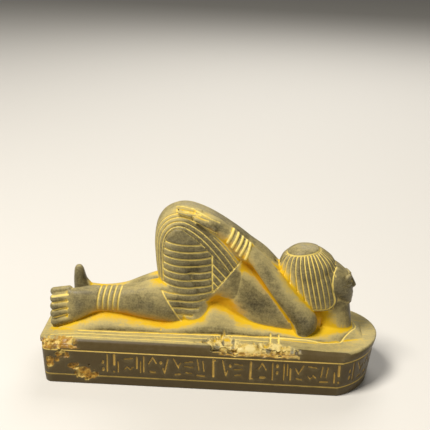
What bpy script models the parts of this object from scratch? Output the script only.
"""A small carved statuette: a slave kneeling with the chest on the ground, cast in one with its plinth."""

import math

import bmesh
import bpy
import numpy as np
from mathutils import Vector

# The plinth, in metres: a slab with a squared foot end and a bowed head end, both with a lip at the top
PLINTH_LENGTH = 0.1283
PLINTH_DEPTH = 0.0444
PLINTH_HEIGHT = 0.0172
HEAD_BOW = 0.0134
FOOT_CORNER = 0.003
END_LIP = 0.0011
FOOT_BATTER = 0.001
HEAD_BATTER = 0.0019
BASE_EDGE = 0.0005
CHAMFER_INSET = 0.0024
CHAMFER_DROP = 0.0034
CHAMFER_BULGE = 0.0004
BASE_LINE_HEIGHT = 0.0035
LINE_WIDTH = 0.0009
LINE_DEPTH = 0.0004
BORDER_INSET = 0.0078

# Where the figure lies between the plinth's ends, and how its lines are cut, in metres
FOOT_MARGIN = 0.002
HEAD_MARGIN = 0.0094
GROOVE_WIDTH = 0.0013
GROOVE_DEPTH = 0.0005

# How many of each repeated line
STRIPES = 11
PLEATS = 4
LOCKS = 26
BRACELET_RINGS = 5
ANKLET_RINGS = 5

# How finely things are made: counts, the grain of the fused clay in metres and two angles in degrees
BOW_POINTS = 17
CORNER_POINTS = 5
RING_POINTS = 28
STEPS_BETWEEN = 5
ROD_POINTS = 12
ROD_RINGS = 9
ROD_LEAN = 80
SHARP_ANGLE = 35
CLAY_GRAIN = 0.0005
SOFTENING_ROUNDS = 5
FIGURE_TRIANGLES = 8800

STONE_COLOUR = (0.20, 0.19, 0.13, 1.0)
STONE_ROUGHNESS = 0.7

# The figure is drawn in parts of its own length: x from the plinth's foot to its head, y across, z up from
# the plinth's top
TOES_X = -64.0
NOSE_X = 52.9
PART = (PLINTH_LENGTH - FOOT_MARGIN - HEAD_MARGIN) / (NOSE_X - TOES_X)

# A form is a run of cross-sections, each (outer x, outer z, inner x, inner z, side y, half width) in parts
KILT = [
    (14.5, 35.8, 1.5, 12.5, 0, 8.2),
    (6.0, 41.2, -1.5, 14.5, 0, 9.2),
    (-3.9, 46.9, -4.5, 17.0, 0, 10.1),
    (-12.5, 49.6, -6.0, 18.0, 0, 10.5),
    (-19.0, 47.8, -6.5, 18.0, 0, 10.6),
    (-23.0, 43.2, -6.0, 17.5, 0, 10.6),
    (-24.2, 36.4, -4.0, 16.5, 0, 10.6),
    (-24.0, 29.5, -2.0, 15.0, 0, 10.5),
    (-23.2, 22.0, -0.8, 12.5, 0, 10.5),
    (-21.4, 15.2, -0.1, 9.5, 0, 10.4),
    (-17.4, 8.6, -0.2, 5.0, 0, 10.2),
    (-12.6, 1.0, -1.2, -2.0, 0, 9.4),
]
TORSO = [
    (6.5, 40.6, -4.5, 9.0, 0, 7.8),
    (13.0, 36.3, -0.5, 5.0, 0, 7.8),
    (18.4, 32.3, 5.6, 1.5, 0, 8.8),
    (24.2, 26.0, 14.0, -1.0, 0, 10.0),
    (30.0, 19.2, 22.0, -2.0, 0, 10.4),
    (35.8, 12.6, 31.0, -2.0, 0, 9.4),
    (40.5, 9.0, 39.0, -2.0, 0, 6.8),
]
BELLY = [
    (-14.0, 34.0, -14.0, 8.0, 0, 9.0),
    (-6.0, 38.0, -6.0, 8.0, 0, 9.9),
    (0.0, 37.0, 0.0, 12.0, 0, 9.6),
    (6.0, 33.0, 6.0, 10.0, 0, 8.6),
    (12.0, 28.0, 12.0, 6.0, 0, 7.4),
]
NECK = [
    (52.4, -2.0, 37.0, -2.0, 0, 7.2),
    (52.2, 3.0, 37.6, 3.0, 0, 6.6),
    (51.6, 8.0, 37.6, 8.0, 0, 6.2),
    (50.6, 14.5, 36.6, 16.0, 0, 6.0),
]
HEAD = [
    (50.2, 11.6, 41.5, 12.0, 0, 3.2),
    (51.6, 13.2, 40.0, 13.2, 0, 4.8),
    (52.0, 15.6, 38.0, 15.6, 0, 6.0),
    (51.7, 18.6, 36.0, 18.6, 0, 7.0),
    (50.9, 21.6, 35.0, 21.6, 0, 7.2),
    (49.6, 24.0, 34.5, 24.0, 0, 7.0),
    (47.0, 26.4, 34.5, 26.4, 0, 6.4),
    (43.6, 28.6, 34.5, 28.6, 0, 5.6),
]
WIG = [
    (44.6, 10.6, 26.0, 10.6, 0, 7.6),
    (46.2, 12.0, 24.6, 12.0, 0, 8.8),
    (46.8, 16.0, 23.4, 16.0, 0, 9.2),
    (45.6, 20.6, 22.9, 20.6, 0, 9.2),
    (44.4, 24.6, 23.2, 25.0, 0, 8.6),
    (43.0, 27.4, 24.8, 28.0, 0, 7.0),
]
CROWN = [
    (44.6, 21.8, 23.2, 22.2, 0, 9.0),
    (44.6, 24.8, 22.9, 25.2, 0, 9.2),
    (44.7, 27.4, 23.4, 28.0, 0, 8.8),
    (43.4, 29.8, 24.6, 30.4, 0, 7.9),
    (40.4, 32.2, 26.8, 32.4, 0, 6.4),
    (37.6, 33.8, 29.0, 33.8, 0, 4.4),
    (34.6, 34.4, 31.2, 34.4, 0, 1.8),
]
ARM = [
    (38.4, 4.0, 29.0, -1.5, -7.6, 4.6),
    (37.4, 10.0, 28.6, 6.0, -8.2, 4.9),
    (27.4, 21.8, 20.0, 17.8, -8.3, 4.5),
    (17.6, 32.0, 12.8, 27.6, -7.4, 3.9),
    (11.4, 37.0, 6.6, 31.6, -6.8, 3.3),
    (6.0, 41.4, 2.4, 36.0, -6.2, 3.0),
]
HAND = [
    (6.0, 41.4, 2.4, 36.0, -6.2, 2.9),
    (0.4, 45.6, -2.4, 40.0, -6.2, 3.2),
    (-4.4, 47.4, -6.0, 42.6, -6.2, 2.9),
    (-8.4, 48.8, -9.0, 45.6, -6.0, 1.8),
]
# The far arm lies lower than the near one, and its hand further out, both the more the nearer to the hand
FAR_DROP_REACH = (12.0, 34.0)
FAR_DROPS = (5.4, 2.0)
FAR_SPREAD_REACH = (-2.0, 16.0)
FAR_SPREADS = (2.8, 0.0)
NEAR_LEG = [
    (-10.0, 20.0, -10.0, 1.0, -5.4, 5.6),
    (-17.0, 20.5, -17.0, 1.6, -5.6, 5.9),
    (-24.0, 19.8, -24.0, 3.2, -5.7, 5.9),
    (-30.0, 18.0, -30.0, 4.4, -5.7, 5.5),
    (-36.6, 16.6, -36.2, 5.6, -5.6, 4.9),
    (-44.0, 16.0, -44.0, 6.0, -5.6, 4.5),
    (-49.0, 16.0, -49.0, 4.6, -6.2, 4.4),
    (-53.0, 15.6, -53.0, 2.0, -7.2, 4.0),
    (-56.6, 15.4, -56.6, 0.4, -8.0, 2.8),
]
FAR_LEG = [
    (-10.0, 19.5, -10.0, 1.0, 5.4, 5.6),
    (-17.0, 20.0, -17.0, 1.6, 5.6, 5.9),
    (-24.0, 18.4, -24.0, 2.0, 5.6, 5.8),
    (-30.0, 16.0, -30.0, 2.4, 5.5, 5.3),
    (-36.6, 13.2, -36.2, 2.6, 5.2, 4.6),
    (-44.5, 12.0, -44.5, 2.4, 4.8, 4.0),
    (-50.0, 12.6, -50.0, 2.0, 4.4, 3.6),
]
HEEL = [
    (-48.0, 0.5, -58.6, 0.0, 4.4, 5.0),
    (-47.6, 5.0, -57.4, 4.0, 4.4, 4.6),
    (-48.4, 11.6, -56.7, 9.0, 4.0, 3.8),
    (-50.6, 15.0, -56.4, 13.4, 3.8, 3.2),
    (-52.6, 18.2, -56.0, 17.4, 3.7, 2.5),
    (-53.8, 20.2, -55.6, 20.0, 3.6, 1.4),
]
# The bank of ground under the figure: (x, height, half width)
BANK = [
    (-60.0, 0.5, 11.5),
    (-55.0, 2.6, 12.6),
    (-50.0, 5.4, 13.4),
    (-44.0, 9.4, 13.6),
    (-39.0, 9.7, 13.6),
    (-33.0, 8.9, 13.4),
    (-25.0, 7.5, 13.2),
    (-19.0, 6.9, 13.0),
    (-12.5, 9.0, 12.8),
    (-6.0, 13.6, 12.7),
    (-1.0, 15.6, 12.6),
    (4.0, 13.4, 12.5),
    (9.0, 10.4, 12.4),
    (13.0, 8.7, 12.3),
    (18.0, 7.2, 12.4),
    (22.5, 6.4, 12.8),
    (30.0, 4.7, 13.6),
    (36.0, 4.0, 13.6),
    (44.0, 4.8, 12.0),
    (50.0, 3.6, 9.8),
    (56.0, 0.6, 7.0),
]
BANK_ROOT = 3.0
# Small rounded members, each (start, end, start radius, end radius)
NEAR_TOES = [
    ((-56.4, -8.4, 3.6), (-61.6, -9.2, 2.1), 2.4, 2.0),
    ((-56.4, -8.8, 7.2), (-61.8, -9.4, 5.5), 1.8, 1.85),
    ((-56.4, -8.8, 9.9), (-61.8, -9.4, 8.7), 1.8, 1.8),
    ((-56.4, -8.6, 12.6), (-61.8, -9.2, 11.7), 1.7, 1.75),
    ((-56.6, -7.2, 14.8), (-62.3, -6.8, 13.6), 1.6, 1.6),
]
FAR_TOES = [
    ((-56.0, 1.4, 1.6), (-60.2, 1.0, 1.4), 1.5, 1.3),
    ((-56.0, 4.2, 1.6), (-60.6, 4.0, 1.4), 1.4, 1.2),
    ((-56.0, 6.8, 1.6), (-60.2, 6.8, 1.4), 1.3, 1.2),
    ((-55.0, 9.0, 1.4), (-59.2, 9.4, 1.2), 1.3, 1.1),
]
FINGERS = [
    ((-7.0, -5.6, 48.0), (-15.2, -5.3, 49.3), 1.05, 0.95),
    ((-5.6, -7.5, 46.0), (-14.6, -7.2, 48.0), 1.3, 0.95),
]
THUMB = ((-1.6, -9.0, 42.6), (-8.6, -9.3, 46.0), 1.35, 0.9)
FACE_PARTS = [
    ((50.0, 0.0, 23.4), (51.9, 0.0, 19.2), 0.8, 1.05),
    ((50.9, -1.1, 18.7), (50.9, 1.1, 18.7), 0.85, 0.85),
    ((51.15, -1.7, 16.75), (51.15, 1.7, 16.75), 0.8, 0.8),
    ((51.0, -1.4, 15.5), (51.0, 1.4, 15.5), 0.85, 0.85),
    ((50.2, -1.1, 13.2), (50.2, 1.1, 13.2), 1.5, 1.5),
    ((49.2, -4.2, 23.3), (50.3, -1.6, 23.0), 0.8, 0.8),
    ((49.2, 4.2, 23.3), (50.3, 1.6, 23.0), 0.8, 0.8),
]

# How square each kind of form is across: 2 is an ellipse, less is pinched, more is boxy
LIMB_POWER = 2.2
BODY_POWER = 2.5
BELLY_POWER = 3.2
WIG_POWER = 3.2
CROWN_POWER = 2.3
BANK_POWER = 1.6

# Where the carved lines run, in parts
KILT_HALF_WIDTH = 10.5
PLEAT_PATH = (
    (-20.4, 8.0), (-20.5, 24.0), (-20.2, 34.0), (-19.2, 38.6), (-17.2, 41.4), (-14.6, 42.2),
    (-11.8, 41.2), (-7.2, 37.8), (-3.1, 33.7), (1.0, 29.2), (4.2, 25.6), (8.6, 20.6),
)
PLEAT_STEP = 2.3
PLEAT_FLOOR = 9.4
STRIPE_HEIGHTS = (7.4, 36.0)
STRIPE_SAG = 1.4
STRIPE_BACK = -20.4
PANEL_FRONT = (-1.2, -2.1)
WAIST = ((-0.6, 17.9), (8.9, 29.9))
HEM = ((-12.4, 6.4), (-20.9, 16.8))
FLANK_VALLEY = ((10.2, 31.5), (27.9, 7.0))
VALLEY_BREADTH = 1.2
LOCK_SPREAD_HEIGHTS = (12.0, 32.5)
WIG_MIDDLES = (38.0, 33.4)
WIG_BACK = 22.0
WIG_FLOOR = 11.2
CAP_HEIGHT = 31.5
CAP_TILT = 0.1
CAP_MIDDLE = 33.0
FACE_OPENING = (44.6, 28.0)
WRIST_RINGS = ((4.3, 38.3), (10.8, 32.9))
WRIST_BEND = 0.065
ANKLE_RINGS = (-45.3, -37.4)
ANKLE_FLOOR = 7.5
ANKLET_CURL = 0.018
ANKLET_LEVEL = 9.0
ANKLET_RISE = 10.0
LEAST_SIDE = 4.5
SIDE_FACING = 0.3
OVERRUN = 1.0
ARM_EDGE = 1.0
NO_LINE = 1000.0


def superellipse(turn, power):
    """The point at a turn round a rounded section, from -1 to 1 each way."""
    c, s = math.cos(turn), math.sin(turn)
    return (
        math.copysign(abs(c) ** (2 / power), c),
        math.copysign(abs(s) ** (2 / power), s),
    )


def between(sections):
    """The sections with smooth ones added between them."""
    rows = np.array(sections, float)
    padded = np.vstack([2 * rows[0] - rows[1], rows, 2 * rows[-1] - rows[-2]])
    smooth = []
    for i in range(1, len(padded) - 2):
        a, b, c, d = padded[i - 1 : i + 3]
        bend = 2 * a - 5 * b + 4 * c - d
        twist = 3 * b - a - 3 * c + d
        for t in np.arange(STEPS_BETWEEN) / STEPS_BETWEEN:
            smooth.append(b + 0.5 * ((c - a) * t + bend * t**2 + twist * t**3))
    return [*smooth, rows[-1]]


def section_ring(section, power):
    """The points round one cross-section."""
    outer_x, outer_z, inner_x, inner_z, side, half_width = section
    middle = Vector(((outer_x + inner_x) / 2, side, (outer_z + inner_z) / 2))
    reach = Vector(((outer_x - inner_x) / 2, 0, (outer_z - inner_z) / 2))
    points = []
    for k in range(RING_POINTS):
        u, v = superellipse(2 * math.pi * k / RING_POINTS, power)
        points.append(middle + reach * u + Vector((0, half_width * v, 0)))
    return points


def bank_ring(x, height, half_width):
    """The points round one cross-section of the bank, whose root is sunk in the plinth."""
    points = []
    for k in range(RING_POINTS):
        u, v = superellipse(2 * math.pi * k / RING_POINTS, BANK_POWER)
        points.append(Vector((x, half_width * v, u * (height if u > 0 else BANK_ROOT))))
    return points


def skin(bm, rings):
    """Faces over a run of rings, closed at both ends."""
    rows = [[bm.verts.new(p) for p in ring] for ring in rings]
    count = len(rows[0])
    for low, high in zip(rows, rows[1:]):
        for k in range(count):
            bm.faces.new((low[k], low[(k + 1) % count], high[(k + 1) % count], high[k]))
    bm.faces.new(rows[0][::-1])
    bm.faces.new(rows[-1])


def add_form(bm, sections, power):
    """A limb or a mass of the body."""
    skin(bm, [section_ring(section, power) for section in between(sections)])


def far_drop(x):
    """How much lower the far arm lies than the near one."""
    return np.interp(x, FAR_DROP_REACH, FAR_DROPS)


def far_spread(x):
    """How much further out the far arm lies than the near one."""
    return np.interp(x, FAR_SPREAD_REACH, FAR_SPREADS)


def across_middle(point):
    """The place on the far hand that answers to one on the near hand."""
    return (point[0], far_spread(point[0]) - point[1], point[2] - far_drop(point[0]))


def far_side(sections):
    """The far arm's sections: the near one's, mirrored, lower and wider apart."""
    moved = []
    for outer_x, outer_z, inner_x, inner_z, side, half_width in sections:
        drop = far_drop(inner_x)
        far = far_spread(inner_x) - side
        moved.append((outer_x, outer_z - drop, inner_x, inner_z - drop, far, half_width))
    return moved


def add_member(bm, start, end, start_radius, end_radius):
    """A finger, toe or feature: a rounded rod that tapers from start to end."""
    start, end = Vector(start), Vector(end)
    axis = (end - start).normalized()
    across = axis.orthogonal().normalized()
    other = axis.cross(across)
    turns = [2 * math.pi * k / ROD_POINTS for k in range(ROD_POINTS)]
    rings = []
    for lean in np.radians(np.linspace(-ROD_LEAN, ROD_LEAN, ROD_RINGS)):
        at, radius = (start, start_radius) if lean < 0 else (end, end_radius)
        centre = at + axis * radius * math.sin(lean)
        size = radius * math.cos(lean)
        rings.append([centre + (across * math.cos(t) + other * math.sin(t)) * size for t in turns])
    skin(bm, rings)


def clay_mesh():
    """Every form of the figure and the bank under it, still overlapping one another."""
    bm = bmesh.new()
    skin(bm, [bank_ring(*row) for row in between(BANK)])
    add_form(bm, BELLY, BELLY_POWER)
    for mass in (KILT, TORSO):
        add_form(bm, mass, BODY_POWER)
    add_form(bm, WIG, WIG_POWER)
    add_form(bm, CROWN, CROWN_POWER)
    for limb in (NECK, HEAD, NEAR_LEG, FAR_LEG, HEEL):
        add_form(bm, limb, LIMB_POWER)
    for limb in (ARM, HAND):
        add_form(bm, limb, LIMB_POWER)
        add_form(bm, far_side(limb), LIMB_POWER)
    for member in (*NEAR_TOES, *FAR_TOES, *FACE_PARTS):
        add_member(bm, *member)
    for start, end, start_radius, end_radius in (*FINGERS, THUMB):
        add_member(bm, start, end, start_radius, end_radius)
        add_member(bm, across_middle(start), across_middle(end), start_radius, end_radius)
    bmesh.ops.recalc_face_normals(bm, faces=bm.faces)
    mesh = bpy.data.meshes.new("clay")
    bm.to_mesh(mesh)
    bm.free()
    return mesh


def evaluated_copy(obj, name):
    """The finished shape of an object, as a mesh of its own."""
    graph = bpy.context.evaluated_depsgraph_get()
    mesh = bpy.data.meshes.new_from_object(obj.evaluated_get(graph))
    mesh.name = name
    return mesh


def new_object(name, mesh):
    """The mesh as an object, smooth except at its sharp edges."""
    mesh.shade_smooth()
    mesh.set_sharp_from_angle(angle=math.radians(SHARP_ANGLE))
    obj = bpy.data.objects.new(name, mesh)
    bpy.context.scene.collection.objects.link(obj)
    return obj


def fused_clay():
    """The forms fused into one skin whose joins are softened."""
    clay = new_object("clay", clay_mesh())
    fuse = clay.modifiers.new("fuse", "REMESH")
    fuse.mode = "VOXEL"
    fuse.voxel_size = CLAY_GRAIN / PART
    soften = clay.modifiers.new("soften", "SMOOTH")
    soften.factor = 0.5
    soften.iterations = SOFTENING_ROUNDS
    mesh = evaluated_copy(clay, "fused")
    bpy.data.objects.remove(clay)
    return mesh


def line_distance(x, z, line):
    """How far points lie to the left of a line of the x z plane, how far along it, and its length."""
    (ax, az), (bx, bz) = line
    length = math.hypot(bx - ax, bz - az)
    ux, uz = (bx - ax) / length, (bz - az) / length
    return (z - az) * ux - (x - ax) * uz, (x - ax) * ux + (z - az) * uz, length


def path_distance(x, z, path):
    """The distance from points to a path of straight lengths, greater than 0 on its left."""
    best = np.full(len(x), NO_LINE)
    for line in zip(path, path[1:]):
        left, along, length = line_distance(x, z, line)
        beyond = along - np.clip(along, 0, length)
        distance = np.hypot(left, beyond)
        best = np.where(distance < np.abs(best), np.copysign(distance, left), best)
    return best


def nearest_of(value, places):
    """The distance to the nearest of several places on a scale."""
    return np.min([np.abs(value - place) for place in places], axis=0)


def on_line(along, length):
    """Whether points lie beside a line, or only just past its ends."""
    return (along > -OVERRUN) & (along < length + OVERRUN)


def arm_discs():
    """The near arm, hand and fingers as they show from the side: overlapping discs, each (x, z, radius)."""
    discs = []
    for outer_x, outer_z, inner_x, inner_z, _, _ in between(ARM) + between(HAND):
        radius = math.hypot(outer_x - inner_x, outer_z - inner_z) / 2
        discs.append(((outer_x + inner_x) / 2, (outer_z + inner_z) / 2, radius))
    for start, end, start_radius, end_radius in (*FINGERS, THUMB):
        for share in np.linspace(0, 1, ROD_POINTS):
            x, _, z = np.array(start) + share * (np.array(end) - np.array(start))
            discs.append((x, z, start_radius + share * (end_radius - start_radius)))
    return discs


def on_arms(x, y, z):
    """Whether points lie on an arm or a hand, as they show from their own side."""
    level = np.where(y > 0, z + far_drop(x), z)
    share = np.full(len(x), NO_LINE)
    for disc_x, disc_z, radius in arm_discs():
        share = np.minimum(share, np.hypot(x - disc_x, level - disc_z) / radius)
    return (share < ARM_EDGE) & (np.abs(y) > LEAST_SIDE)


def kilt_lines(x, y, z, facing, on_arm):
    """Distances to the kilt's lines: the panel's stripes and edge, the pleats, the belt and the hem."""
    side = np.abs(y)
    on_side = (side > LEAST_SIDE) & (facing > SIDE_FACING)
    from_waist, along_waist, waist_length = line_distance(x, z, WAIST)
    from_hem, along_hem, hem_length = line_distance(x, z, HEM)
    inside = (from_waist > 0) & (from_hem < 0) & ~on_arm
    outward = path_distance(x, z, between(PLEAT_PATH))
    panel_front = np.interp(z, STRIPE_HEIGHTS, PANEL_FRONT)
    behind_front = x < panel_front
    middle, half = (STRIPE_BACK + PANEL_FRONT[0]) / 2, (PANEL_FRONT[0] - STRIPE_BACK) / 2
    sagged = z - STRIPE_SAG * ((x - middle) / half) ** 2
    within = inside & (outward < 0) & on_side
    round_edge = np.maximum(outward, 0) + np.maximum(KILT_HALF_WIDTH - side, 0)
    pleats = np.arange(PLEATS) * PLEAT_STEP
    over_hip = inside & (outward > -OVERRUN) & (z > PLEAT_FLOOR)
    return [
        np.where(within & behind_front, nearest_of(sagged, np.linspace(*STRIPE_HEIGHTS, STRIPES)), NO_LINE),
        np.where(within & (z < STRIPE_HEIGHTS[1]), np.abs(x - panel_front), NO_LINE),
        np.where(within & ~behind_front, nearest_of(-outward, pleats[1:]), NO_LINE),
        np.where(over_hip, np.where(outward < 0, -outward, nearest_of(round_edge, pleats)), NO_LINE),
        np.where(on_line(along_waist, waist_length) & on_side & ~on_arm, np.abs(from_waist), NO_LINE),
        np.where(on_line(along_hem, hem_length) & on_side, np.abs(from_hem), NO_LINE),
    ]


def wig_lines(x, y, z, on_arm):
    """Distances to the wig's lines: the locks, and the ring of the cap that they start from."""
    middle = np.interp(z, LOCK_SPREAD_HEIGHTS, WIG_MIDDLES)
    step = 2 * math.pi / LOCKS
    turn = np.arctan2(y, x - middle) / step
    to_lock = np.abs(turn - np.round(turn)) * step * np.hypot(x - middle, y)
    above_cap = z - CAP_HEIGHT - CAP_TILT * (x - CAP_MIDDLE)
    on_wig = (z > WIG_FLOOR) & (x > WIG_BACK) & ~on_arm
    below_cap = on_wig & (above_cap < 0) & ((x < FACE_OPENING[0]) | (z > FACE_OPENING[1]))
    return [
        np.where(below_cap, to_lock, NO_LINE),
        np.where(on_wig, np.abs(above_cap), NO_LINE),
    ]


def limb_lines(x, y, z, on_arm):
    """Distances to the bracelets, the near anklets and the valley between the arm and the flank."""
    level = np.where(y > 0, z + far_drop(x), z)
    from_wrist, along_wrist, wrist_length = line_distance(x, level, WRIST_RINGS)
    bent = along_wrist + WRIST_BEND * from_wrist**2
    curled = x - ANKLET_CURL * np.clip(z - ANKLET_LEVEL, 0, ANKLET_RISE) ** 2
    ankle_length = ANKLE_RINGS[1] - ANKLE_RINGS[0]
    on_ankle = on_line(curled - ANKLE_RINGS[0], ankle_length) & (y < 0) & (z > ANKLE_FLOOR)
    from_valley, along_valley, valley_length = line_distance(x, level, FLANK_VALLEY)
    in_valley = (along_valley > 0) & (along_valley < valley_length) & (np.abs(y) > LEAST_SIDE)
    narrowing = 1 + VALLEY_BREADTH * (1 - np.clip(along_valley / valley_length, 0, 1))
    return [
        np.where(on_arm, nearest_of(bent, np.linspace(0, wrist_length, BRACELET_RINGS)), NO_LINE),
        np.where(on_ankle, nearest_of(curled, np.linspace(*ANKLE_RINGS, ANKLET_RINGS)), NO_LINE),
        np.where(in_valley, np.abs(from_valley) / narrowing, NO_LINE),
    ]


def vertex_values(mesh, name):
    """One vector for each vertex, as rows."""
    values = np.empty(len(mesh.vertices) * 3)
    mesh.vertices.foreach_get(name, values)
    return values.reshape(-1, 3)


def carved(mesh):
    """Presses the carved lines into the fused skin, and lays it on the plinth at its real size."""
    points = vertex_values(mesh, "co")
    normals = vertex_values(mesh, "normal")
    x, y, z = points.T
    on_arm = on_arms(x, y, z)
    lines = kilt_lines(x, y, z, np.abs(normals[:, 1]), on_arm)
    lines += wig_lines(x, y, z, on_arm) + limb_lines(x, y, z, on_arm)
    across = np.min(lines, axis=0) * PART / (GROOVE_WIDTH / 2)
    depth = GROOVE_DEPTH / PART * np.clip(1 - across**2, 0, 1)
    points = (points - normals * depth[:, None] - (TOES_X, 0, 0)) * PART
    points += (FOOT_MARGIN - PLINTH_LENGTH / 2, 0, PLINTH_HEIGHT)
    mesh.vertices.foreach_set("co", points.ravel())
    mesh.update()
    return mesh


def figure():
    """The kneeling figure with the bank that it lies on, still without its plinth."""
    obj = new_object("figure", carved(fused_clay()))
    thin = obj.modifiers.new("thin", "DECIMATE")
    thin.ratio = min(1.0, FIGURE_TRIANGLES / (2 * len(obj.data.polygons)))
    mesh = evaluated_copy(obj, "figure")
    bpy.data.objects.remove(obj)
    return new_object("figure", mesh)


def plinth_outline(foot_back, head_back, side_back, inset=0.0):
    """The plan of the slab at one height, moved inwards by inset: the bow, then the foot end."""
    half_depth = PLINTH_DEPTH / 2 - side_back
    rise = HEAD_BOW - head_back
    bow_radius = (half_depth**2 + rise**2) / (2 * rise)
    bow_centre = PLINTH_LENGTH / 2 - head_back - bow_radius
    side = half_depth - inset
    spread = math.asin(side / (bow_radius - inset))
    points = [
        (bow_centre + (bow_radius - inset) * math.cos(turn), (bow_radius - inset) * math.sin(turn))
        for turn in np.linspace(-spread, spread, BOW_POINTS)
    ]
    corner = max(FOOT_CORNER - inset, LINE_WIDTH / 2)
    foot = foot_back + inset + corner - PLINTH_LENGTH / 2
    for start, centre_y in ((90, side - corner), (180, corner - side)):
        for turn in np.radians(np.linspace(start, start + 90, CORNER_POINTS)):
            points.append((foot + corner * math.cos(turn), centre_y + corner * math.sin(turn)))
    return points


def wall_rows():
    """The slab's wall from its underside to the border line on its top: (height, outline) pairs."""
    chamfer_foot = PLINTH_HEIGHT - CHAMFER_DROP
    heights = (0.0, BASE_LINE_HEIGHT, chamfer_foot, PLINTH_HEIGHT - CHAMFER_DROP / 2, PLINTH_HEIGHT)
    sides = (BASE_EDGE, 0.0, 0.0, CHAMFER_INSET / 2 - CHAMFER_BULGE, CHAMFER_INSET)
    half_line = LINE_WIDTH / 2
    cut = ((-half_line, 0.0), (0.0, LINE_DEPTH), (half_line, 0.0))
    marks = [(0.0, 0.0)]
    for line in (BASE_LINE_HEIGHT, chamfer_foot):
        marks += [(line + offset, depth) for offset, depth in cut]
    marks += [(heights[3], 0.0), (PLINTH_HEIGHT, 0.0)]
    rows = []
    for height, depth in marks:
        lean = max(0.0, 1 - height / chamfer_foot)
        lip = END_LIP * min(1.0, (PLINTH_HEIGHT - height) / CHAMFER_DROP)
        foot_back = lip + FOOT_BATTER * lean
        head_back = lip + HEAD_BATTER * lean
        side_back = float(np.interp(height, heights, sides))
        rows.append((height, plinth_outline(foot_back, head_back, side_back, depth)))
    for offset, depth in cut:
        rows.append((PLINTH_HEIGHT - depth, plinth_outline(0.0, 0.0, CHAMFER_INSET, BORDER_INSET + offset)))
    return rows


def plinth():
    """The slab, closed below by its flat underside and above by the ground that the figure lies on."""
    bm = bmesh.new()
    skin(bm, [[(x, y, height) for x, y in outline] for height, outline in wall_rows()])
    bmesh.ops.recalc_face_normals(bm, faces=bm.faces)
    mesh = bpy.data.meshes.new("slave_statue")
    bm.to_mesh(mesh)
    bm.free()
    return new_object("slave_statue", mesh)


def stone():
    """The dark grey-green stone, as one plain colour."""
    material = bpy.data.materials.new("dark_stone")
    material.use_nodes = True
    shader = material.node_tree.nodes["Principled BSDF"]
    shader.inputs["Base Color"].default_value = STONE_COLOUR
    shader.inputs["Roughness"].default_value = STONE_ROUGHNESS
    shader.inputs["Metallic"].default_value = 0.0
    return material


def main():
    """The statue: the figure and its plinth as one solid."""
    for obj in list(bpy.data.objects):
        bpy.data.objects.remove(obj)
    statue = plinth()
    body = figure()
    body.hide_render = True
    body.display_type = "WIRE"
    join = statue.modifiers.new("cast_in_one", "BOOLEAN")
    join.operation = "UNION"
    join.solver = "EXACT"
    join.object = body
    statue.data.materials.append(stone())


main()
